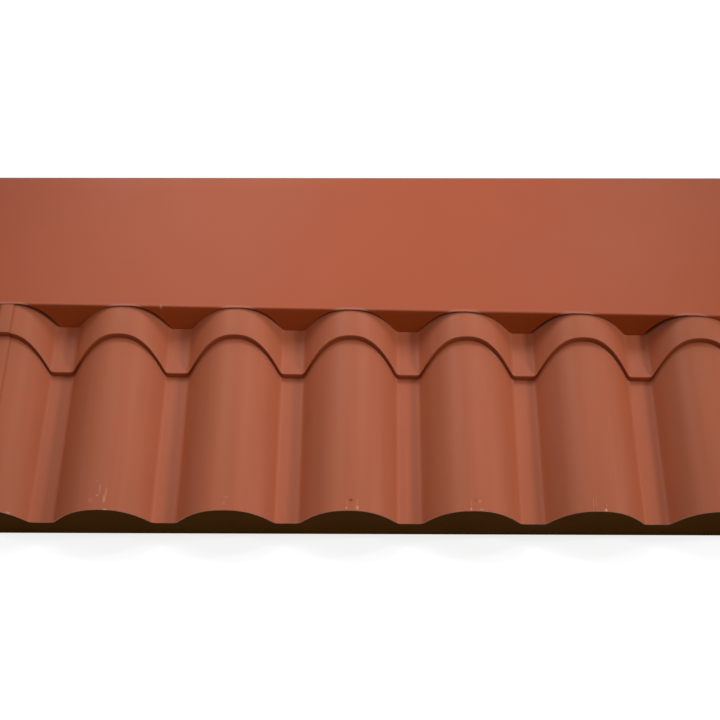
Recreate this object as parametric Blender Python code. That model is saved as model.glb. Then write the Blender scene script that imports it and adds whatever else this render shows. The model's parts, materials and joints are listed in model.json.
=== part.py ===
"""Ridge section of a tile-form roof: a folded cap over two waved, stepped sheets on their cores.

All sizes are in metres, +Z up. X runs along the ridge, and the ridge stands over Y = 0. A place on
a slope is given by s, its distance down the slope from the ridge line, and by h, its height square
to the slope above the valleys of the lower course. The ridge line is where the two slopes' planes
h = 0 meet. The front slope faces -Y, and the rear slope is its mirror image.
"""

import math

import bmesh
import bpy
import numpy as np

# The roof
COVER_WIDTH = 1.000
RIDGE_TO_EAVE = 0.4587
SLOPE = math.radians(30)

# The waves, pressed into each sheet
WAVE_COUNT = 7
WAVE_HEIGHT = 0.034
VALLEY_FLAT = 0.028
FIRST_FLAT = 0.004
CREST_FULLNESS = 2.38
FOOT_SOFTNESS = 0.0025
FOOT_ROUND = 0.003
CREST_SEGMENTS = 12
CLOSEST_COLUMNS = 0.0005

# The step between the upper and the lower course of tiles
STEP_TO_EAVE = 0.198
STEP_RISE = 0.0075
STEP_RUN = 0.0015
STEP_LEAN = 0.036
STEP_SKEW = 0.0074

# The flat rib along the first crest, where the next sheet laps
RIB_WIDTH = 0.016
RIB_RISE = 0.0012
RIB_SIDE = 0.001
RIB_MARGIN = 0.0015

SHEET_THICKNESS = 0.001

# The core under each sheet
CORE_DEPTH = 0.034
SEAT_CUT = 0.004
CORE_SETBACK = 0.0006
PANEL_GAP = 0.006

# The ridge cap
CAP_THICKNESS = 0.001
WING_WIDTH = 0.211
WING_TAPER = 0.0185
BEND_RADIUS = 0.0025
APEX_RADIUS = 0.006
SKIRT_RAKE = math.radians(12.9)
SKIRT_TWIST = math.radians(7.0)
BEND_SEGMENTS = 3
APEX_SEGMENTS = 4

# The notches in the cap's skirts: rounder than the waves, taller, wider at the foot, and closer
SKIRT_CLEARANCE = 0.001
NOTCH_TOP = 0.0022
NOTCH_SIDE = 0.0035
NOTCH_FULLNESS = 2.0
NOTCH_CREEP = 0.013
SHORT_SKIRT = 0.001

# The clear space that touching pieces keep
JOINT_GAP = 0.0003

# Worked out from the sizes above
SIN, COS, TAN = math.sin(SLOPE), math.cos(SLOPE), math.tan(SLOPE)
WAVE_PITCH = COVER_WIDTH / WAVE_COUNT
FLANK_WIDTH = (WAVE_PITCH - VALLEY_FLAT) / 2
CORE_END = RIDGE_TO_EAVE - CORE_SETBACK
EAVE_FACE_DEPTH = CORE_DEPTH - SEAT_CUT
RIDGE_Z = CORE_END * SIN + EAVE_FACE_DEPTH * COS
PANEL_TOP = (CORE_DEPTH * SIN + PANEL_GAP / 2) / COS
SEAT_START = (RIDGE_Z - CORE_DEPTH * COS) / SIN
STEP_PLACE = RIDGE_TO_EAVE - STEP_TO_EAVE
CREST_TOP = STEP_RISE + (WAVE_HEIGHT + math.hypot(WAVE_HEIGHT, FOOT_SOFTNESS)) / 2
WING_TOP = CREST_TOP + RIB_RISE + JOINT_GAP + CAP_THICKNESS
BEND_START = WING_WIDTH - WING_TOP * TAN

FRONT, REAR = 1, -1

TERRACOTTA_CAP = (0.420, 0.125, 0.068, 1)
TERRACOTTA_SHEET = (0.376, 0.112, 0.062, 1)
CORE_BROWN = (0.085, 0.040, 0.012, 1)


def clear_scene():
    for thing in list(bpy.data.objects):
        bpy.data.objects.remove(thing, do_unlink=True)


def finish_material(name, colour, roughness, metallic=0.0):
    material = bpy.data.materials.new(name)
    material.use_nodes = True
    shader = material.node_tree.nodes["Principled BSDF"]
    shader.inputs["Base Color"].default_value = colour
    shader.inputs["Roughness"].default_value = roughness
    shader.inputs["Metallic"].default_value = metallic
    return material


def on_slope(x, s, h, side=FRONT):
    """World points of places on a slope, for numbers or arrays of one shape."""
    y = -side * (s * COS + h * SIN)
    z = RIDGE_Z - s * SIN + h * COS
    return np.stack(np.broadcast_arrays(x, y, z), axis=-1)


def crest_places():
    first = -COVER_WIDTH / 2 + FIRST_FLAT + FLANK_WIDTH
    return first + WAVE_PITCH * np.arange(WAVE_COUNT)


def wave_height(x, full=WAVE_HEIGHT, flank=FLANK_WIDTH, fullness=CREST_FULLNESS):
    """Height over the valleys: full on a crest, and falling with a power of the distance from it.

    The power curve would cross the valley floor at the wave's foot. Its soft maximum with the
    floor, the mean of the curve and its length to the softness, rounds that corner off.
    """
    distance = np.abs(x[:, None] - crest_places()).min(axis=1)
    curve = full * (1 - (distance / flank) ** fullness)
    return (curve + np.hypot(curve, FOOT_SOFTNESS)) / 2


def rib_height(x):
    distance = np.abs(x - crest_places()[0])
    return np.interp(distance, [RIB_WIDTH / 2, RIB_WIDTH / 2 + RIB_SIDE], [RIB_RISE, 0])


def columns():
    """Where the section has its points: both ends, the round of each wave, and the rib's edges."""
    over_wave = FLANK_WIDTH * np.linspace(-1, 1, CREST_SEGMENTS + 1)
    at_feet = np.add.outer([-FLANK_WIDTH, FLANK_WIDTH], [-FOOT_ROUND, FOOT_ROUND]).ravel()
    across = np.concatenate([over_wave, at_feet])
    round_points = (crest_places()[:, None] + across).ravel()
    first_crest = crest_places()[0]
    rib_edges = np.array([RIB_WIDTH / 2, RIB_WIDTH / 2 + RIB_SIDE])
    distance = np.abs(round_points - first_crest)
    near_edge = np.abs(distance - rib_edges.mean()) < RIB_SIDE / 2 + RIB_MARGIN
    inside = np.abs(round_points) < COVER_WIDTH / 2 - CLOSEST_COLUMNS
    ends = [-COVER_WIDTH / 2, COVER_WIDTH / 2]
    rib_points = [first_crest - rib_edges, first_crest + rib_edges]
    return np.sort(np.concatenate([ends, round_points[inside & ~near_edge], *rib_points]))


def section(depth):
    """The sheet's outline across the waves (x, h), moved inwards by a depth square to itself.

    Each point moves along the mean of its two sides' normals, by more where they differ, so that
    every side ends up at the depth.
    """
    x = columns()
    h = wave_height(x) + rib_height(x)
    run, rise = np.diff(x), np.diff(h)
    normals = np.stack([-rise, run]) / np.hypot(run, rise)
    before = np.concatenate([normals[:, :1], normals], axis=1)
    after = np.concatenate([normals, normals[:, -1:]], axis=1)
    mean = (before + after) / 2
    moved = depth * mean / (mean**2).sum(axis=0)
    return x - moved[0], h - moved[1]


def waved_surface(depth, rows, side):
    """The sheet's surface at a depth under its outer face, as a grid of points.

    Each row is (s, lift, share): where it lies in a valley midway along, how far the course is
    lifted, and its share in the step's shape. A row with the full share leans up the slope on the
    crests, and runs a little askew, further down the slope towards +X.
    """
    s, lift, share = (values[:, None] for values in np.array(rows).T)
    x, h = section(depth)
    lean = STEP_LEAN * wave_height(columns()) / WAVE_HEIGHT
    return on_slope(x, s + share * (STEP_SKEW * columns() - lean), h + lift, side)


def panel_rows(depth, end):
    """Rows from the panel's top end, over the step, to its lower end."""
    lip = STEP_PLACE - STEP_RUN / 2 - depth
    foot = STEP_PLACE + STEP_RUN / 2 - depth
    return [
        (PANEL_TOP, STEP_RISE, 0),
        (lip, STEP_RISE, 1),
        (foot, 0, 1),
        (end, 0, 0),
    ]


def closed_body(name, upper, lower, material, sharp_angle=40):
    """A closed body between two grids of points that have the same rows and columns."""
    rows, across = upper.shape[:2]
    top = np.arange(rows * across).reshape(rows, across)
    bottom = top + rows * across

    def strip(first, second):
        return np.stack([first[:-1], first[1:], second[1:], second[:-1]], axis=-1).reshape(-1, 4)

    faces = [strip(grid[row], grid[row + 1]) for grid in (top, bottom) for row in range(rows - 1)]
    faces += [strip(top[edge], bottom[edge]) for edge in (0, -1)]
    faces += [strip(top[:, edge], bottom[:, edge]) for edge in (0, -1)]
    points = np.concatenate([upper.reshape(-1, 3), lower.reshape(-1, 3)])

    mesh = bpy.data.meshes.new(name)
    mesh.from_pydata(points.tolist(), [], np.concatenate(faces).tolist())
    shape = bmesh.new()
    shape.from_mesh(mesh)
    bmesh.ops.recalc_face_normals(shape, faces=shape.faces)
    shape.to_mesh(mesh)
    shape.free()
    mesh.shade_smooth()
    mesh.set_sharp_from_angle(angle=math.radians(sharp_angle))
    mesh.materials.append(material)
    body = bpy.data.objects.new(name, mesh)
    bpy.context.scene.collection.objects.link(body)
    return body


def build_tile_sheet(name, side, material):
    """The waved sheet: two courses of tiles in one pressing, with the step between them."""
    rows = panel_rows(0, RIDGE_TO_EAVE)
    inner_rows = panel_rows(SHEET_THICKNESS, RIDGE_TO_EAVE)
    outer = waved_surface(0, rows, side)
    inner = waved_surface(SHEET_THICKNESS, inner_rows, side)
    ends = [0, -1]
    inner[:, ends, 0] = outer[:, ends, 0]
    return closed_body(name, outer, inner, material)


def build_core(name, side, material):
    """The core: waved on top to fill the sheet, flat below, with a level seat along the eave."""
    depth = SHEET_THICKNESS + JOINT_GAP
    rows = panel_rows(depth, CORE_END)
    rows.insert(-1, ((rows[-2][0] + CORE_END) / 2, 0, 0))
    top = waved_surface(depth, rows, side)
    ends = [0, -1]
    top[:, ends, 0] = -COVER_WIDTH / 2, COVER_WIDTH / 2
    s = np.array([PANEL_TOP, rows[1][0], rows[2][0], SEAT_START, CORE_END])[:, None]
    h = -np.array([CORE_DEPTH, CORE_DEPTH, CORE_DEPTH, CORE_DEPTH, EAVE_FACE_DEPTH])[:, None]
    underside = on_slope(top[0, :, 0], s, h, side)
    return closed_body(name, top, underside, material)


def notch_height(x):
    """How high the skirt's edge stands over the valleys at each x.

    It follows the notch's outline, and clears the sheet where that would come too near to it. The
    edge keeps more from a crest, where the strip lies flat and its inner face is further down.
    """
    outline = (WAVE_HEIGHT + NOTCH_TOP, FLANK_WIDTH + NOTCH_SIDE, NOTCH_FULLNESS)
    notch = wave_height(x * (1 + NOTCH_CREEP), *outline)
    wave = wave_height(x)
    least = wave + rib_height(x) + CAP_THICKNESS * wave / WAVE_HEIGHT
    return STEP_RISE + np.maximum(notch, least) + SKIRT_CLEARANCE


def wing_edge(x, depth):
    """The cap's bend and skirt at each column, from the skirt's end up to the flat wing.

    The path leaves the flat of the wing, turns down round the bend and runs straight down the
    skirt, which leans out a little more towards -X. The strip is notched while it is flat, so the
    notch's outline runs on at the same rate over the bend. Rows are spread evenly from one row
    inside the wing to the bend's end, and closed up where the path is short.
    """
    bend_angle = math.pi / 2 - SKIRT_RAKE + SKIRT_TWIST * x
    bend_length = BEND_RADIUS * bend_angle
    bend_end_h = WING_TOP - BEND_RADIUS * (1 - np.cos(bend_angle))
    margin = bend_length / BEND_SEGMENTS
    length = margin + bend_length + (bend_end_h - notch_height(x)) / np.sin(bend_angle)

    closing = np.minimum(length / (margin + bend_length + SHORT_SKIRT), 1)
    round_rows = np.linspace(1, 0, BEND_SEGMENTS + 2)[:, None] * (margin + bend_length) * closing
    along = np.concatenate([length[None], round_rows]) - margin
    turn = np.clip(along / BEND_RADIUS, 0, bend_angle)
    past_bend = np.maximum(along - bend_length, 0)
    out = np.minimum(along, 0) + BEND_RADIUS * np.sin(turn) + past_bend * np.cos(bend_angle)
    s = BEND_START + WING_TAPER * x + out
    h = WING_TOP - BEND_RADIUS * (1 - np.cos(turn)) - past_bend * np.sin(bend_angle)
    return s - depth * np.sin(turn), h - depth * np.cos(turn)


def cap_surface(depth):
    """The cap's outer face, or the face at a depth under it, from the front skirt to the rear one."""
    x = columns()
    s, h = wing_edge(x, depth)
    front = on_slope(x, s, h, FRONT)
    rear = on_slope(x, s, h, REAR)[::-1]
    turn = np.linspace(-SLOPE, SLOPE, APEX_SEGMENTS + 1)[:, None]
    centre_z = RIDGE_Z + (WING_TOP - APEX_RADIUS) / COS
    radius = APEX_RADIUS - depth
    apex = np.broadcast_arrays(x, radius * np.sin(turn), centre_z + radius * np.cos(turn))
    return np.concatenate([front, np.stack(apex, axis=-1), rear])


def build_ridge_cap(material):
    """One folded strip: two tapering wings, and a skirt along each that is cut to the waves."""
    return closed_body("ridge_cap", cap_surface(0), cap_surface(CAP_THICKNESS), material)


clear_scene()
cap_paint = finish_material("cap_paint", TERRACOTTA_CAP, 0.42)
sheet_paint = finish_material("sheet_paint", TERRACOTTA_SHEET, 0.45)
core_brown = finish_material("core_brown", CORE_BROWN, 0.9)
build_ridge_cap(cap_paint)
build_tile_sheet("tile_sheet_front", FRONT, sheet_paint)
build_tile_sheet("tile_sheet_rear", REAR, sheet_paint)
build_core("core_front", FRONT, core_brown)
build_core("core_rear", REAR, core_brown)
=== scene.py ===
"""Ridge section of a tile-form roof: the shapes and finishes of its sheets, cores and cap.

Metres, +Z up. A place on a slope is (x, s, h): x runs along the ridge, s is the distance down the
slope from the ridge line, and h is the height square to the slope, above the lower course's
valleys. The ridge line is where the two slopes' planes h = 0 meet, over Y = 0. The front slope
faces -Y, and the rear slope is its mirror image.
"""

import json
import math

import bpy
import numpy as np
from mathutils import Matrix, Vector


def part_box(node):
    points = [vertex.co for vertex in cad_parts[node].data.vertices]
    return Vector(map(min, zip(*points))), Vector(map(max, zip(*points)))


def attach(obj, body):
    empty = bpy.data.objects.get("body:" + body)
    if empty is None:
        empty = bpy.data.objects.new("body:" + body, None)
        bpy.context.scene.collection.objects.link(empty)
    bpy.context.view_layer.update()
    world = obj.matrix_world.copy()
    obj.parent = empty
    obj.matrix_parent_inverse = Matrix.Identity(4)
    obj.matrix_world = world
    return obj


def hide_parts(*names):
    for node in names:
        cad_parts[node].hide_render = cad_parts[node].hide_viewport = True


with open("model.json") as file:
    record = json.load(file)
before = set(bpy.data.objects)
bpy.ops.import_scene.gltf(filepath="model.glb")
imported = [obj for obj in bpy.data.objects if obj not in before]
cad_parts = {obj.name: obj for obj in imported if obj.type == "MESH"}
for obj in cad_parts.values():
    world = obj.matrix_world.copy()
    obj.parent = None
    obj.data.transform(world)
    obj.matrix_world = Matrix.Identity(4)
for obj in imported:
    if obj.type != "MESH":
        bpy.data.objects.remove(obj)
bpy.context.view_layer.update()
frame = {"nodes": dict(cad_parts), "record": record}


# ---------------------------------------------------------------------------------------------
# The tile sheets. Each slope is one steel sheet, painted on both faces, with seven waves rolled
# into it and one step pressed across them, so that it looks like two courses of barrel tiles. It
# is glued to its core. The next sheet along laps over the flat rib on the first crest.

WAVE_COUNT = 7
WAVE_HEIGHT = 0.034
VALLEY_FLAT = 0.028
FIRST_FLAT = 0.004
CREST_FULLNESS = 2.38
FOOT_SOFTNESS = 0.0025
FOOT_ROUND = 0.006
RIB_WIDTH, RIB_RISE, RIB_SIDE = 0.016, 0.0012, 0.001
SHEET_THICKNESS = 0.001

STEP_TO_EAVE = 0.1983
STEP_RISE = 0.0075
STEP_LEAN = 0.036
STEP_SKEW = 0.0074
RISER_RUN = 0.0016
LEDGE_RISE, LEDGE_WIDTH = 0.0008, 0.0024
EASE_RUN = 0.0025
LIP_RADIUS, RISER_FOOT_RADIUS, EASE_RADIUS = 0.0010, 0.0005, 0.0025
HIDDEN_TOP = 0.0231
LONGEST_ROW = 0.022
CREST_COLUMNS, FOOT_COLUMNS, RIB_COLUMNS = 41, 9, 5
SHARP_ANGLE = math.radians(35)
# Painted shade in the step's crease, below its ledge, beside the rib and under the cap's skirt, and a
# painted highlight on the step's lip.
CREASE_SHADE, LEDGE_SHADE, LIP_HIGHLIGHT = 0.85, 0.30, 0.12
RIB_SHADE, RIB_SHADE_WIDTH = 0.42, 0.0014
UNDER_CAP_SHADE, SHELTER_END, SHELTER_FADE = 1.0, 0.186, 0.004
WING_TAPER = 0.0185

front_low, front_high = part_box("tile_sheet_front")
SIN = frame["record"]["mounts"][0]["axis"][1]
COS = math.sqrt(1 - SIN**2)
WAVE_PITCH = (front_high.x - front_low.x) / WAVE_COUNT
FLANK_WIDTH = (WAVE_PITCH - VALLEY_FLAT) / 2
CRESTS = front_low.x + FIRST_FLAT + FLANK_WIDTH + WAVE_PITCH * np.arange(WAVE_COUNT)


def wave_height(x, full=WAVE_HEIGHT, flank=FLANK_WIDTH, fullness=CREST_FULLNESS, softness=FOOT_SOFTNESS):
    """Height over the valleys at each x: full on a crest, less by a power of the distance from it.

    The soft maximum of that curve with the floor is the mean of the curve and its length to the
    softness. It rounds off the corner at the wave's foot, a flank's width from the crest.
    """
    distance = np.abs(x[:, None] - CRESTS).min(axis=1)
    curve = full * (1 - (distance / flank) ** fullness)
    return (curve + np.hypot(curve, softness)) / 2


def rib_height(x):
    """The lap rib's rise at each x: flat on top, and down each side along half a cosine wave."""
    out = np.clip((np.abs(x - CRESTS[0]) - RIB_WIDTH / 2) / RIB_SIDE, 0, 1)
    return RIB_RISE * (1 + np.cos(np.pi * out)) / 2


def columns():
    """Places across the sheet: even over each crest, closer at its feet and at the rib's sides."""
    over_crest = FLANK_WIDTH * np.linspace(-1, 1, CREST_COLUMNS)
    at_foot = FLANK_WIDTH + FOOT_ROUND * np.linspace(-1, 1, FOOT_COLUMNS)
    waves = np.add.outer(CRESTS, np.concatenate([over_crest, at_foot, -at_foot])).ravel()
    rib_side = RIB_WIDTH / 2 + RIB_SIDE * np.linspace(0, 1, RIB_COLUMNS)
    rib = CRESTS[0] + np.concatenate([rib_side, -rib_side])
    ends = [front_low.x, front_high.x]
    inside = waves[np.abs(waves) < front_high.x - RIB_SIDE]
    return np.unique(np.concatenate([ends, inside, rib]).round(5))


across = columns()
section = wave_height(across) + rib_height(across)
valley_floor = wave_height(CRESTS[:1] + WAVE_PITCH / 2)[0]
EAVE = (-front_low.y - section.max() * SIN) / COS
RIDGE_Z = front_low.z + EAVE * SIN + (SHEET_THICKNESS - valley_floor) * COS
STEP = EAVE - STEP_TO_EAVE


def on_slope(x, s, h, side=1):
    """World points of places on a slope: s runs down it and h stands square to it."""
    y = -side * (s * COS + h * SIN)
    z = RIDGE_Z - s * SIN + h * COS
    return np.stack(np.broadcast_arrays(x, y, z), axis=-1)


def rounded_path(corners, radii, arc_points=7):
    """Points (s, h) along a path whose inner corners are arcs.

    An arc of radius r starts r tan(turn / 2) before its corner. Once it has turned through t, it
    is r sin(t) further the old way, and r (1 - cos(t)) over to the side that it turns to.
    """
    corners = np.array(corners)
    runs = np.diff(corners, axis=0)
    ahead = runs / np.linalg.norm(runs, axis=1, keepdims=True)
    parts = [corners[:1]]
    for corner, radius, old, new in zip(corners[1:-1], radii, ahead, ahead[1:]):
        turn = math.atan2(old[0] * new[1] - old[1] * new[0], old @ new)
        t = np.linspace(0, abs(turn), arc_points)[:, None]
        aside = np.sign(turn) * np.array([-old[1], old[0]])
        start = corner - old * radius * math.tan(abs(turn) / 2)
        parts.append(start + radius * (np.sin(t) * old + (1 - np.cos(t)) * aside))
    return np.concatenate([*parts, corners[-1:]])


def with_rows(path, longest):
    """The same path, with even extra points wherever two points are further apart than longest."""
    length = np.append(0, np.cumsum(np.linalg.norm(np.diff(path, axis=0), axis=1)))
    parts = [np.linspace(a, b, int((b - a) / longest) + 2)[:-1] for a, b in zip(length, length[1:])]
    at = np.append(np.concatenate(parts), length[-1])
    return np.stack([np.interp(at, length, path[:, axis]) for axis in (0, 1)], axis=1)


def step_path():
    """The sheet's path down a valley: over the lip, down the riser to a ledge, and eased to the floor."""
    riser_foot = STEP + RISER_RUN
    ledge_end = riser_foot + LEDGE_WIDTH
    corners = [
        (HIDDEN_TOP, STEP_RISE),
        (STEP, STEP_RISE),
        (riser_foot, LEDGE_RISE),
        (ledge_end, LEDGE_RISE),
        (ledge_end + EASE_RUN, 0),
        (EAVE, 0),
    ]
    radii = [LIP_RADIUS, RISER_FOOT_RADIUS, EASE_RADIUS, EASE_RADIUS]
    return with_rows(rounded_path(corners, radii), LONGEST_ROW)


def solid_sheet(name, points, place, edge, thickness):
    """A closed sheet of metal: a grid of points on its outer face, and the same grid further in.

    The grid's rows run down the slope, and its columns so that the cross product of their direction
    with the rows' points inwards. The inner face lies a thickness that way. The finish reads place,
    which holds (x, s, h), and edge, the painted highlight there or, below 0, the painted shade.
    Four strips of cut metal, with the second material, join the two faces along the rim.
    """
    down, along = np.gradient(points, axis=(0, 1))
    inward = np.cross(along, down)
    inner = points + thickness * inward / np.linalg.norm(inward, axis=-1, keepdims=True)
    inner[:, [0, -1], 0] = points[:, [0, -1], 0]

    rows, count = points.shape[:2]
    top = np.arange(rows * count).reshape(rows, count)
    under = top + rows * count

    def strip(first, second):
        return np.stack([first[:-1], second[:-1], second[1:], first[1:]], axis=-1).reshape(-1, 4)

    faces = [strip(top[:-1].T, top[1:].T), strip(under[1:].T, under[:-1].T)]
    rim = [strip(top[-1], under[-1]), strip(under[0], top[0])]
    rim += [strip(top[:, 0], under[:, 0]), strip(under[:, -1], top[:, -1])]
    mesh = bpy.data.meshes.new(name)
    corners = np.concatenate([points.reshape(-1, 3), inner.reshape(-1, 3)])
    mesh.from_pydata(corners, [], np.concatenate(faces + rim))
    is_rim = np.arange(len(mesh.polygons)) >= sum(map(len, faces))
    mesh.polygons.foreach_set("material_index", is_rim.astype(np.int32))
    kept_place = mesh.attributes.new("place", "FLOAT_VECTOR", "POINT")
    kept_place.data.foreach_set("vector", np.tile(place.reshape(-1), 2).astype(np.float32))
    kept_edge = mesh.attributes.new("edge", "FLOAT", "POINT")
    kept_edge.data.foreach_set("value", np.tile(edge.reshape(-1), 2).astype(np.float32))
    mesh.shade_smooth()
    mesh.set_sharp_from_angle(angle=SHARP_ANGLE)
    sheet = bpy.data.objects.new(name, mesh)
    bpy.context.scene.collection.objects.link(sheet)
    return sheet


def pressed_sheet(name, side):
    """The waved sheet: the valley path carried across the waves.

    At the step each point lies further up the slope the higher it is on its wave, and a little
    further down towards +X. That share falls evenly to nothing at the sheet's two ends. A painted
    highlight runs along the lip, and painted shade lies in the crease under it, below the ledge and
    beside the lap rib.
    """
    s, h = step_path().T[:, :, None]
    share = np.interp(s, [HIDDEN_TOP, STEP, STEP + LEDGE_WIDTH, EAVE], [0, 1, 1, 0])
    down = s + share * (STEP_SKEW * across - STEP_LEAN * wave_height(across) / WAVE_HEIGHT)
    up = h + section
    points = on_slope(across, down, up, side)
    place = np.stack(np.broadcast_arrays(across, down, up), axis=-1)
    from_rib = np.abs(across - CRESTS[0]) - RIB_WIDTH / 2 - RIB_SIDE
    # Painted shade in the crease under the riser, below the ledge and at the rib's foot.
    crease = CREASE_SHADE * np.exp(-(((s - STEP - RISER_RUN) / RISER_RUN) ** 2))
    ledge = LEDGE_SHADE * np.exp(-(((s - STEP - RISER_RUN - LEDGE_WIDTH) / EASE_RUN) ** 2))
    rib_foot = RIB_SHADE * np.exp(-((from_rib / RIB_SHADE_WIDTH) ** 2))
    # A painted highlight along the step's lip.
    lip = LIP_HIGHLIGHT * np.exp(-(((s - STEP + LIP_RADIUS) / LIP_RADIUS) ** 2))
    edge = lip - np.maximum(crease, ledge) - rib_foot
    if side < 0:
        points, place, edge = points[:, ::-1], place[:, ::-1], edge[:, ::-1]
    return solid_sheet(name, points, place, edge, SHEET_THICKNESS)


sheets = {
    "front": pressed_sheet("pressed_sheet_front", 1),
    "rear": pressed_sheet("pressed_sheet_rear", -1),
}


def add_node(tree, kind, inputs=(), **settings):
    """A new node in a tree. Each input takes a value or, given a socket, a link."""
    made = tree.nodes.new(kind)
    for name, value in settings.items():
        setattr(made, name, value)
    for name, value in dict(inputs).items():
        if isinstance(value, bpy.types.NodeSocket):
            tree.links.new(value, made.inputs[name])
        else:
            made.inputs[name].default_value = value
    return made


def maths(tree, operation, *values):
    """The result of a Math node on up to three numbers or sockets."""
    return add_node(tree, "ShaderNodeMath", enumerate(values), operation=operation).outputs[0]


def ramp_between(tree, value, low, high):
    """0 where a value is at low, 1 at high, and a smooth step between."""
    inputs = {"Value": value, "From Min": low, "From Max": high}
    made = add_node(tree, "ShaderNodeMapRange", inputs, interpolation_type="SMOOTHSTEP")
    return made.outputs["Result"]


def noise(tree, place, scale, detail=2.0, stretch=(1, 1, 1)):
    """Noise from 0 to 1, at a scale of spots to the metre. A stretch under 1 draws it out along an axis."""
    inputs = {"Vector": place, "Scale": stretch}
    stretched = add_node(tree, "ShaderNodeMapping", inputs, vector_type="POINT")
    inputs = {"Vector": stretched.outputs[0], "Scale": scale, "Detail": detail}
    return add_node(tree, "ShaderNodeTexNoise", inputs).outputs["Fac"]


def mix_colour(tree, factor, first, second, kind="MIX"):
    """Two colours mixed by a factor."""
    inputs = {0: factor, 6: first, 7: second}
    settings = {"data_type": "RGBA", "blend_type": kind}
    return add_node(tree, "ShaderNodeMix", inputs, **settings).outputs[2]


def new_group(name, inputs, outputs):
    """An empty shader node group with its sockets, as (group, the sockets that come in, output)."""
    tree = bpy.data.node_groups.new(name, "ShaderNodeTree")
    for socket, kind in inputs.items():
        tree.interface.new_socket(socket, in_out="INPUT", socket_type="NodeSocket" + kind)
    for socket, kind in outputs.items():
        tree.interface.new_socket(socket, in_out="OUTPUT", socket_type="NodeSocket" + kind)
    return tree, add_node(tree, "NodeGroupInput").outputs, add_node(tree, "NodeGroupOutput")


# How many patches, streaks and so on there are to the metre, on the paint film.
PATCHES, STREAKS, GRAINS, RIPPLES, HOLLOWS, DUST_CELLS = 14.0, 90.0, 900.0, 420.0, 11.0, 33.0
STREAK_STRETCH = (1, 0.04, 0)
GRAIN_SHARE = 0.3
HOLLOW_DEPTH = 8.0
DUSTY_SHARE = 0.17
LEAST_SPECK, SPECK_SPREAD = 0.012, 0.022


def group_paint_film():
    """Coil paint: its colour drifts in broad patches and long roll streaks, and its film is rippled.

    Here and there a speck of pale dust sits on it, in one cell in six of a 30 mm pattern.
    """
    inputs = {"Place": "Vector", "Colour": "Color", "Drift": "Float", "Streaks": "Float"}
    outputs = {"Colour": "Color", "Roughness Drift": "Float", "Height": "Float", "Specks": "Float"}
    tree, given, result = new_group("paint_film", inputs, outputs)
    patches = noise(tree, given["Place"], PATCHES, 3.0)
    streaks = noise(tree, given["Place"], STREAKS, 2.0, STREAK_STRETCH)
    grain = noise(tree, given["Place"], GRAINS, 1.0)
    streak_shade = maths(tree, "MULTIPLY", maths(tree, "SUBTRACT", streaks, 0.5), given["Streaks"])
    grain_shade = maths(tree, "MULTIPLY_ADD", grain, GRAIN_SHARE, -0.5 - GRAIN_SHARE / 2)
    shade = maths(tree, "ADD", maths(tree, "ADD", patches, streak_shade), grain_shade)
    inputs = {"Color": given["Colour"], "Value": maths(tree, "MULTIPLY_ADD", shade, given["Drift"], 1.0)}
    shaded = add_node(tree, "ShaderNodeHueSaturation", inputs).outputs["Color"]
    ripple = noise(tree, given["Place"], RIPPLES, 2.0)
    hollows = noise(tree, given["Place"], HOLLOWS, 1.0)
    height = maths(tree, "MULTIPLY_ADD", hollows, HOLLOW_DEPTH, ripple)
    inputs = {"Vector": given["Place"], "Scale": DUST_CELLS}
    cells = add_node(tree, "ShaderNodeTexVoronoi", inputs).outputs
    draw = add_node(tree, "ShaderNodeSeparateColor", {"Color": cells["Color"]}).outputs
    chosen = maths(tree, "LESS_THAN", draw["Red"], DUSTY_SHARE)
    size = maths(tree, "MULTIPLY_ADD", draw["Green"], SPECK_SPREAD, LEAST_SPECK)
    inside = ramp_between(tree, maths(tree, "DIVIDE", cells["Distance"], size), 1.0, 0.5)
    tree.links.new(shaded, result.inputs["Colour"])
    tree.links.new(maths(tree, "SUBTRACT", patches, 0.5), result.inputs["Roughness Drift"])
    tree.links.new(height, result.inputs["Height"])
    tree.links.new(maths(tree, "MULTIPLY", chosen, inside), result.inputs["Specks"])
    return tree


RAGGEDNESS = 1.4
MARK_RIM, MARK_CORE = 1.25, 0.45


def group_mark():
    """One mark on the paint: an ellipse with a ragged, soft edge round a spot.

    The distance from the spot is measured in reaches, and noise moves it by up to a third or so. The
    mark fades in from its rim to its core.
    """
    inputs = {"Place": "Vector", "Spot": "Vector", "Reach": "Vector", "Ragged": "Float"}
    tree, given, result = new_group("mark", inputs, {"Mask": "Float"})
    inputs = {0: given["Place"], 1: given["Spot"]}
    from_spot = add_node(tree, "ShaderNodeVectorMath", inputs, operation="SUBTRACT").outputs[0]
    inputs = {0: from_spot, 1: given["Reach"]}
    in_reach = add_node(tree, "ShaderNodeVectorMath", inputs, operation="DIVIDE").outputs[0]
    distance = add_node(tree, "ShaderNodeVectorMath", {0: in_reach}, operation="LENGTH").outputs["Value"]
    ragged = maths(tree, "MULTIPLY_ADD", given["Ragged"], RAGGEDNESS, -RAGGEDNESS / 2)
    out = maths(tree, "ADD", distance, ragged)
    tree.links.new(ramp_between(tree, out, MARK_RIM, MARK_CORE), result.inputs["Mask"])
    return tree


paint_film = group_paint_film()
mark = group_mark()


def use_group(tree, group, inputs):
    """The outputs of a node group put in a tree. Each input takes a value or, given a socket, a link."""
    return add_node(tree, "ShaderNodeGroup", inputs, node_tree=group).outputs


SHEET_PAINT = (0.366, 0.0960, 0.0420, 1)
PAINT_GLOSS, PAINT_DRIFT = 0.18, 0.07
PAINT_ROUGHNESS, ROUGHNESS_DRIFT, CHIP_ROUGHNESS = 0.45, 0.12, 0.25
FILM_RIPPLE, RIPPLE_STRENGTH, CHIP_DEPTH = 0.00003, 0.6, 3.0
DUSTINESS = 0.35
RAGGED_SPOTS = 700.0
SHEET_STREAKS = 2.4
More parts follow.
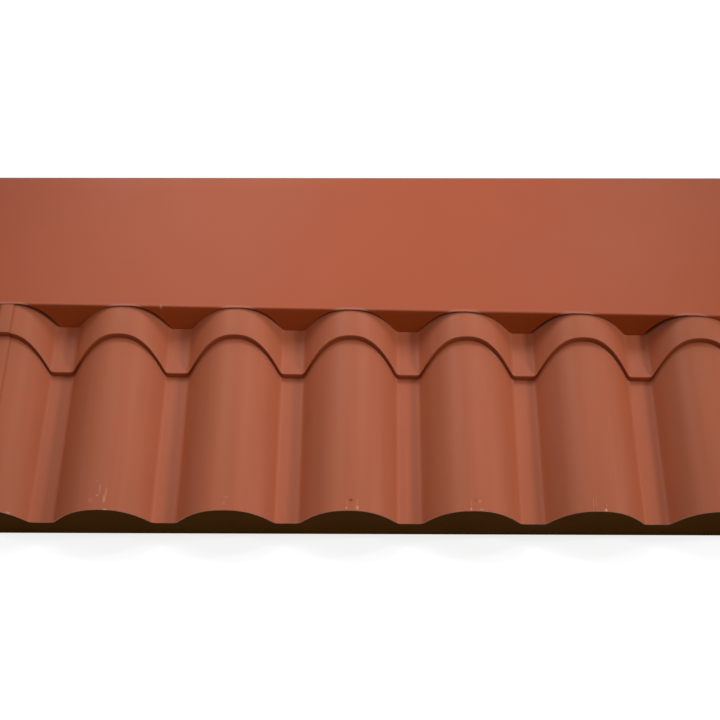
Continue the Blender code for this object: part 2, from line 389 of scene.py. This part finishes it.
# Colours of the painted highlights and of the painted shade on the sheet.
HIGHLIGHT_PAINT = (0.55, 0.27, 0.20, 1)
SHADED_SHEET_PAINT = (0.21, 0.032, 0.001, 1)
BARE_PRIMER = (0.72, 0.40, 0.30, 1)
PALE_DUST = (0.62, 0.42, 0.34, 1)
RUST_BROWN = (0.20, 0.020, 0.003, 1)

# Each mark: its crest, mm across from the crest and up from the cut edge, its reach across and up
# in mm, and its strength.
CHIPS = [
    (0, 37.0, 1.5, 2.6, 1.4, 0.30),
    (1, 7.7, 0.2, 2.2, 1.3, 0.60),
    (1, 5.5, 14.0, 1.8, 5.5, 0.26),
    (1, -3.0, 18.0, 1.6, 1.3, 0.26),
    (1, 7.0, 22.0, 1.2, 7.5, 0.16),
    (1, -0.5, 27.0, 1.2, 7.5, 0.16),
    (1, -4.5, 37.0, 1.1, 1.1, 0.20),
    (1, -10.0, 12.0, 2.8, 3.5, 0.08),
    (2, 2.8, 16.5, 3.0, 1.0, 0.14),
    (2, 0.2, 9.0, 1.2, 3.0, 0.10),
    (3, -2.0, 3.2, 1.3, 1.8, 0.38),
    (3, -2.0, 10.5, 1.0, 4.0, 0.08),
    (3, 10.5, 4.0, 1.7, 2.8, 0.40),
    (3, 10.5, 11.5, 1.0, 4.0, 0.10),
    (4, -2.7, 2.4, 1.4, 1.8, 0.42),
    (4, -2.7, 9.5, 1.0, 5.0, 0.12),
    (4, 7.5, 12.3, 1.4, 2.6, 0.24),
    (4, 8.8, 2.0, 2.6, 1.2, 0.26),
    (5, -5.6, 9.8, 0.9, 6.5, 0.14),
    (5, -2.8, 9.8, 0.8, 6.0, 0.12),
    (5, 8.0, 1.7, 1.5, 1.7, 0.70),
    (5, 8.8, 8.0, 0.9, 3.5, 0.16),
]
STAINS = [
    (3, 3.0, 13.2, 2.7, 2.0, 0.85),
    (3, -3.4, 9.0, 1.0, 5.0, 0.10),
    (4, 3.2, 14.0, 2.6, 2.6, 0.20),
    (4, -4.0, 8.0, 0.9, 5.0, 0.12),
    (5, 7.8, 7.8, 0.8, 3.5, 0.35),
    (5, -4.2, 9.3, 0.7, 6.0, 0.30),
]


def marks_mask(tree, place, ragged, marks):
    """The strongest of several marks, each (x, s, reach across, reach down, strength)."""
    mask = 0.0
    for x, s, reach_x, reach_s, strength in marks:
        spot = {"Spot": (x, s, 0), "Reach": (reach_x, reach_s, 1), "Place": place, "Ragged": ragged}
        one = maths(tree, "MULTIPLY", use_group(tree, mark, spot)["Mask"], strength)
        mask = maths(tree, "MAXIMUM", mask, one)
    return mask


def shade_under_cap(tree, place):
    """How dark the painted shadow is on the sheet up the slope from the cap's skirt, where the cap shades
    it.
    """
    parts = add_node(tree, "ShaderNodeSeparateXYZ", {0: place}).outputs
    s = maths(tree, "MULTIPLY_ADD", parts["X"], -WING_TAPER, parts["Y"])
    sheltered = ramp_between(tree, s, SHELTER_END, SHELTER_END - SHELTER_FADE)
    return maths(tree, "MULTIPLY", sheltered, UNDER_CAP_SHADE)


def painted_steel(name, colour, shade_colour, streaks, chips, stains, under_cap=False):
    """Satin paint on steel, with painted highlights and painted shade, dust, chips down to the primer, and
    stains.
    """
    material = bpy.data.materials.new(name)
    material.use_nodes = True
    tree = material.node_tree
    shader = tree.nodes["Principled BSDF"]
    shader.inputs["Specular IOR Level"].default_value = PAINT_GLOSS
    place = add_node(tree, "ShaderNodeAttribute", attribute_name="place").outputs["Vector"]
    edge = add_node(tree, "ShaderNodeAttribute", attribute_name="edge").outputs["Fac"]
    inputs = {"Place": place, "Colour": colour, "Drift": PAINT_DRIFT, "Streaks": streaks}
    film = use_group(tree, paint_film, inputs)
    ragged = noise(tree, place, RAGGED_SPOTS, 3.0)
    # The edge attribute lays on painted highlights where it is above 0 and painted shade where it is below
    # 0.
    painted_light = mix_colour(tree, maths(tree, "MAXIMUM", edge, 0.0), film["Colour"], HIGHLIGHT_PAINT)
    painted_shade = maths(tree, "MAXIMUM", maths(tree, "MULTIPLY", edge, -1.0), 0.0)
    # A painted shadow on the sheet under the cap.
    if under_cap:
        painted_shade = maths(tree, "MAXIMUM", painted_shade, shade_under_cap(tree, place))
    with_shade = mix_colour(tree, painted_shade, painted_light, shade_colour)
    dusty = mix_colour(tree, maths(tree, "MULTIPLY", film["Specks"], DUSTINESS), with_shade, PALE_DUST)
    stained = mix_colour(tree, marks_mask(tree, place, ragged, stains), dusty, RUST_BROWN)
    chipped = marks_mask(tree, place, ragged, chips)
    tree.links.new(mix_colour(tree, chipped, stained, BARE_PRIMER), shader.inputs["Base Color"])
    rough = maths(tree, "MULTIPLY_ADD", film["Roughness Drift"], ROUGHNESS_DRIFT, PAINT_ROUGHNESS)
    rougher = maths(tree, "MULTIPLY_ADD", chipped, CHIP_ROUGHNESS, rough)
    tree.links.new(rougher, shader.inputs["Roughness"])
    height = maths(tree, "SUBTRACT", film["Height"], maths(tree, "MULTIPLY", chipped, CHIP_DEPTH))
    inputs = {"Height": height, "Distance": FILM_RIPPLE, "Strength": RIPPLE_STRENGTH}
    tree.links.new(add_node(tree, "ShaderNodeBump", inputs).outputs["Normal"], shader.inputs["Normal"])
    return material


def beside_crests(marks):
    """The marks' places and reaches in metres, on the sheet."""
    return [
        (CRESTS[crest] + x / 1000, EAVE - up / 1000, reach_x / 1000, reach_s / 1000, strength)
        for crest, x, up, reach_x, reach_s, strength in marks
    ]


CUT_STEEL = (0.22, 0.12, 0.085, 1), (0.38, 0.23, 0.17, 1)
STAINED_STEEL = (0.20, 0.10, 0.06, 1)
SHEAR_STREAKS, STEEL_STAINS = 1500.0, 60.0
STAIN_START, STAIN_FULL = 0.45, 0.7
STEEL_SHOWING = 0.3


def cut_steel():
    """The sheared edge of a coated sheet: brownish bare steel, streaked across by the shears."""
    material = bpy.data.materials.new("cut_edge")
    material.use_nodes = True
    tree = material.node_tree
    shader = tree.nodes["Principled BSDF"]
    shader.inputs["Metallic"].default_value = STEEL_SHOWING
    place = add_node(tree, "ShaderNodeTexCoord").outputs["Object"]
    streaks = noise(tree, place, SHEAR_STREAKS, 1.0, (1, 0.2, 0.2))
    stain = ramp_between(tree, noise(tree, place, STEEL_STAINS, 2.0), STAIN_START, STAIN_FULL)
    steel = mix_colour(tree, streaks, *CUT_STEEL)
    dirty = mix_colour(tree, stain, steel, STAINED_STEEL)
    tree.links.new(dirty, shader.inputs["Base Color"])
    tree.links.new(maths(tree, "MULTIPLY_ADD", streaks, 0.2, 0.4), shader.inputs["Roughness"])
    return material


marks = beside_crests(CHIPS), beside_crests(STAINS)
sheet_paint = painted_steel("sheet_paint", SHEET_PAINT, SHADED_SHEET_PAINT, SHEET_STREAKS, *marks, under_cap=True)
cut_edge = cut_steel()
for end, sheet in sheets.items():
    sheet.data.materials.append(sheet_paint)
    sheet.data.materials.append(cut_edge)
    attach(sheet, "root")
    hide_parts("tile_sheet_" + end)


# ---------------------------------------------------------------------------------------------
# The cores. Under each sheet is a slab of brown rigid foam, waved on top to fill the sheet and
# flat below. It was foamed against the sheet and then sawn to length, so its end faces are dull
# and finely cellular.

CORE_BROWN = (0.140, 0.050, 0.0090, 1)
CORE_PALE = (0.190, 0.075, 0.0160, 1)
FOAM_CELLS, FOAM_PATCHES, SAW_MARKS = 900.0, 22.0, 260.0
CELL_SHADE, CELL_DEPTH, SAW_DEPTH = 0.4, 0.0003, 0.6
FOAM_GLOSS = 0.02


def sawn_foam():
    """Rigid foam: small closed cells, with the shallow marks of a saw across them."""
    material = bpy.data.materials.new("core_brown")
    material.use_nodes = True
    tree = material.node_tree
    shader = tree.nodes["Principled BSDF"]
    place = add_node(tree, "ShaderNodeTexCoord").outputs["Object"]
    inputs = {"Vector": place, "Scale": FOAM_CELLS}
    cells = add_node(tree, "ShaderNodeTexVoronoi", inputs).outputs["Distance"]
    patches = noise(tree, place, FOAM_PATCHES, 3.0)
    saw_marks = noise(tree, place, SAW_MARKS, 1.0, (0.05, 1, 1))
    tone = maths(tree, "MULTIPLY_ADD", cells, CELL_SHADE, maths(tree, "SUBTRACT", patches, 0.25))
    tree.links.new(mix_colour(tree, tone, CORE_BROWN, CORE_PALE), shader.inputs["Base Color"])
    shader.inputs["Roughness"].default_value = 1.0
    shader.inputs["Specular IOR Level"].default_value = FOAM_GLOSS
    height = maths(tree, "MULTIPLY_ADD", saw_marks, SAW_DEPTH, cells)
    inputs = {"Height": height, "Distance": CELL_DEPTH, "Strength": 0.5}
    tree.links.new(add_node(tree, "ShaderNodeBump", inputs).outputs["Normal"], shader.inputs["Normal"])
    return material


foam = sawn_foam()
for end in sheets:
    core = frame["nodes"]["core_" + end]
    core.data.materials.clear()
    core.data.materials.append(foam)


# ---------------------------------------------------------------------------------------------
# The ridge cap. One strip of the same coated steel, folded over the ridge. Each long side is
# folded down into a skirt, cut to the waves so that it drops into every valley and clears every
# crest. Its wings widen a little towards +X.

CAP_THICKNESS = 0.0006
WING_WIDTH = 0.211
BEND_RADIUS = 0.0025
APEX_RADIUS = 0.006
SKIRT_RAKE = math.radians(12.9)
SKIRT_TWIST = math.radians(7.0)
FOOT_CLEARANCE = 0.0005
NOTCH_TOP, NOTCH_SIDE = 0.0017, -0.0012
NOTCH_FULLNESS, NOTCH_SOFTNESS = 2.75, 0.0008
NOTCH_CREEP, FAR_CREEP = 0.013, 0.014
CAP_GAP = 0.0007
SHORT_SKIRT = 0.0015
EDGE_MARGIN = 0.003
SKIRT_ROWS, BEND_ROWS, WING_ROWS, APEX_ROWS = 6, 13, 9, 9
# A painted highlight along the fold and where a notch's edge crosses it, and painted shade on the skirt.
FOLD_HIGHLIGHT, CORNER_HIGHLIGHT, CORNER_REACH = 0.10, 0.75, 0.0024
SKIRT_SHADE = 0.65

WING_TOP = STEP_RISE + section.max() + CAP_GAP + CAP_THICKNESS
BEND_START = WING_WIDTH - WING_TOP * SIN / COS
BEND_ANGLE = math.pi / 2 - SKIRT_RAKE + SKIRT_TWIST * across
BEND_LENGTH = BEND_RADIUS * BEND_ANGLE
BEND_DROP = BEND_RADIUS * (1 - np.cos(BEND_ANGLE))


def wing_edge():
    """The wing's edge, the bend and the skirt at each row and column, from the cut inwards.

    Along the strip, 0 is where the bend starts, and the skirt is straight from the bend's end. It
    leans out a little more towards -X. The strip is notched while it is flat, so a notch's outline
    keeps its shape along the strip: it is the height on a straight skirt, and over a crest it runs
    back across the bend. The notches are fuller than the waves, with sharp corners at the foot, and
    a little closer together, most of all towards +X. So away from the middle each notch clears one
    flank of its crest widely and the other barely. The rows lie evenly from the margin to the
    bend's end and on down the skirt, and close up alike where it is short. A painted highlight runs
    along the fold, stronger where a notch's edge crosses it, and painted shade makes the skirt a
    browner, deeper red.
    """
    outline = (WAVE_HEIGHT + NOTCH_TOP, FLANK_WIDTH + NOTCH_SIDE, NOTCH_FULLNESS, NOTCH_SOFTNESS)
    crept = across * (1 + NOTCH_CREEP) + FAR_CREEP * np.maximum(across, 0) ** 2
    notch = wave_height(crept, *outline)
    stop_h = STEP_RISE + np.maximum(notch, section) + FOOT_CLEARANCE
    length = EDGE_MARGIN + BEND_LENGTH + (WING_TOP - BEND_DROP - stop_h) / np.sin(BEND_ANGLE)
    round_length = EDGE_MARGIN + BEND_LENGTH
    closed_up = np.minimum(length / (round_length + SHORT_SKIRT), 1)
    round_bend = closed_up * round_length * np.linspace(1, 0, BEND_ROWS + 1)[:, None]
    down_skirt = round_bend[0] + (length - round_bend[0]) * np.linspace(1, 0, SKIRT_ROWS + 1)[:-1, None]
    along = np.concatenate([down_skirt, round_bend]) - EDGE_MARGIN
    turn = np.clip(along / BEND_RADIUS, 0, BEND_ANGLE)
    past_bend = np.maximum(along - BEND_LENGTH, 0)
    out = np.minimum(along, 0) + BEND_RADIUS * np.sin(turn) + past_bend * np.cos(BEND_ANGLE)
    h = WING_TOP - BEND_RADIUS * (1 - np.cos(turn)) - past_bend * np.sin(BEND_ANGLE)
    # A painted highlight along the fold, stronger at the notch corners.
    fold = FOLD_HIGHLIGHT * np.exp(-(((along - BEND_LENGTH / 2) / BEND_RADIUS) ** 2))
    corner = np.exp(-(((length - round_length) / CORNER_REACH) ** 2))
    from_cut = np.exp(-(((along[0] - along) / CORNER_REACH) ** 2))
    painted_highlight = np.maximum(fold, CORNER_HIGHLIGHT * corner * from_cut)
    # Painted shade on the skirt below the bend, which makes it a browner, deeper red.
    painted_shade = SKIRT_SHADE * np.clip((along - BEND_LENGTH / 2) / BEND_RADIUS, 0, 1)
    return BEND_START + WING_TAPER * across + out, h, painted_highlight - painted_shade


def folded_cap(name):
    """The strip from the front skirt's end, over the ridge, to the rear skirt's end."""
    edge_s, edge_h, edge_light = wing_edge()
    apex_s = (WING_TOP - APEX_RADIUS) * SIN / COS + 0 * across
    top_s = np.linspace(edge_s[-1], -apex_s, WING_ROWS + 1)[1:]
    s = np.concatenate([edge_s, top_s])
    h = np.concatenate([edge_h, np.full_like(top_s, WING_TOP)])
    painted_light = np.concatenate([edge_light, 0 * top_s])
    turn = np.linspace(-1, 1, APEX_ROWS)[1:-1, None] * math.asin(SIN)
    centre_z = RIDGE_Z + (WING_TOP - APEX_RADIUS) / COS
    round_apex = [across, APEX_RADIUS * np.sin(turn), centre_z + APEX_RADIUS * np.cos(turn)]
    apex = np.stack(np.broadcast_arrays(*round_apex), axis=-1)
    front, rear = on_slope(across, s, h, 1), on_slope(across, s, h, -1)
    points = np.concatenate([front, apex, rear[::-1]])
    apex_place = np.zeros((len(apex), len(across)))
    all_s = np.concatenate([s, apex_place, -s[::-1]])
    all_h = np.concatenate([h, apex_place + WING_TOP, h[::-1]])
    place = np.stack(np.broadcast_arrays(across, all_s, all_h), axis=-1)
    edge = np.concatenate([painted_light, apex_place, painted_light[::-1]])
    return solid_sheet(name, points[::-1], place[::-1], edge[::-1], CAP_THICKNESS)


CAP_PAINT = (0.370, 0.0755, 0.0262, 1)
# The colour of the painted shade on the cap's skirt.
SHADED_CAP_PAINT = (0.345, 0.062, 0.0030, 1)
CAP_STREAKS = 0.12
CAP_CHIPS = [(-0.2465, BEND_START - 0.0028, 0.0018, 0.0016, 0.40)]

cap = folded_cap("folded_cap")
cap_paint = painted_steel("cap_paint", CAP_PAINT, SHADED_CAP_PAINT, CAP_STREAKS, CAP_CHIPS, [])
cap.data.materials.append(cap_paint)
cap.data.materials.append(cut_edge)
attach(cap, "root")
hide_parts("ridge_cap")


# ---------------------------------------------------------------------------------------------
# The studio: a pale floor that the eaves stand on, soft lamps and the camera. The floor and the
# sky look white, and light the object as plain grey ones would.

FLOOR_SIZE = 30
FLOOR_GREY = (0.22, 0.22, 0.22, 1)
FLOOR_GLOW, FAR_GLOW = 0.80, 1.0
NEAR, FAR = 0.45, 0.9
SKY_LIGHT = 0.25


def white_floor():
    """Grey to the object, and to the camera so bright that only a shadow on it shows."""
    material = bpy.data.materials.new("floor")
    material.use_nodes = True
    tree = material.node_tree
    tree.nodes.clear()
    matt = add_node(tree, "ShaderNodeBsdfDiffuse", {"Color": FLOOR_GREY}).outputs[0]
    place = add_node(tree, "ShaderNodeTexCoord").outputs["Object"]
    distance = add_node(tree, "ShaderNodeVectorMath", {0: place}, operation="LENGTH").outputs["Value"]
    far = ramp_between(tree, distance, NEAR, FAR)
    strength = maths(tree, "MULTIPLY_ADD", far, FAR_GLOW - FLOOR_GLOW, FLOOR_GLOW)
    glow = add_node(tree, "ShaderNodeEmission", {"Strength": strength}).outputs[0]
    bright = add_node(tree, "ShaderNodeAddShader", {0: matt, 1: glow}).outputs[0]
    inputs = {0: seen_directly(tree), 1: matt, 2: bright}
    seen = add_node(tree, "ShaderNodeMixShader", inputs).outputs[0]
    add_node(tree, "ShaderNodeOutputMaterial", {"Surface": seen})
    return material


def seen_directly(tree):
    """1 for rays from the camera, and for those that gloss or glass sends on."""
    path = add_node(tree, "ShaderNodeLightPath").outputs
    shiny = maths(tree, "MAXIMUM", path["Is Glossy Ray"], path["Is Transmission Ray"])
    return maths(tree, "MAXIMUM", path["Is Camera Ray"], shiny)


def build_floor():
    """A square floor at Z = 0, its middle under the ridge."""
    mesh = bpy.data.meshes.new("floor")
    half = FLOOR_SIZE / 2
    corners = [(-half, -half, 0), (half, -half, 0), (half, half, 0), (-half, half, 0)]
    mesh.from_pydata(corners, [], [(0, 1, 2, 3)])
    mesh.materials.append(white_floor())
    floor = bpy.data.objects.new("floor", mesh)
    bpy.context.scene.collection.objects.link(floor)


def build_sky():
    """A world that is white where it is seen, and a dim even light elsewhere."""
    world = bpy.data.worlds.new("studio")
    world.use_nodes = True
    tree = world.node_tree
    tree.nodes.clear()
    light = add_node(tree, "ShaderNodeBackground", {"Color": (1, 1, 1, 1), "Strength": SKY_LIGHT})
    white = add_node(tree, "ShaderNodeBackground", {"Color": (1, 1, 1, 1), "Strength": 1.0})
    inputs = {0: seen_directly(tree), 1: light.outputs[0], 2: white.outputs[0]}
    seen = add_node(tree, "ShaderNodeMixShader", inputs).outputs[0]
    add_node(tree, "ShaderNodeOutputWorld", {"Surface": seen})
    bpy.context.scene.world = world


build_floor()
build_sky()

LAMP_AIM = np.array([-0.02, -0.2, 0.2])
LAMP_RADIUS = 0.275
LAMPS = {
    "front_left": (330, 50, 2.5, 34, 47.0),
    "right": (75, 30, 5.0, 90, 425.0),
    "rear_right": (120, 65, 2.5, 34, 61.0),
    "rear_left": (210, 65, 2.5, 34, 60.0),
    "top": (250, 72, 2.5, 34, 29.0),
}
for name, (azimuth, elevation, distance, cone, power) in LAMPS.items():
    lamp = bpy.data.lights.new(name, "SPOT")
    lamp.shadow_soft_size = LAMP_RADIUS
    lamp.spot_size = math.radians(cone)
    lamp.spot_blend = 1.0
    lamp.energy = power
    turn, lift = math.radians(azimuth), math.radians(elevation)
    towards = np.array([math.sin(turn) * math.cos(lift), -math.cos(turn) * math.cos(lift), math.sin(lift)])
    holder = bpy.data.objects.new(name, lamp)
    holder.location = LAMP_AIM + distance * towards
    holder.rotation_euler = (math.pi / 2 - lift, 0, turn)
    bpy.context.scene.collection.objects.link(holder)

CAMERA_PLACE = (0.0192, -1.6992, 0.9142)
CAMERA_TILT = math.radians(62.6)
CAMERA_TURN = math.radians(0.594)
CAMERA_ROLL = math.radians(0.156)
CAMERA_LENS, FILM_WIDTH = 67.45, 36
camera = bpy.data.objects.new("camera", bpy.data.cameras.new("camera"))
camera.data.lens = CAMERA_LENS
camera.data.sensor_width = FILM_WIDTH
camera.location = CAMERA_PLACE
camera.rotation_euler = (CAMERA_TILT, CAMERA_ROLL, CAMERA_TURN)
bpy.context.scene.collection.objects.link(camera)
bpy.context.scene.camera = camera
bpy.context.scene.view_settings.view_transform = "Standard"
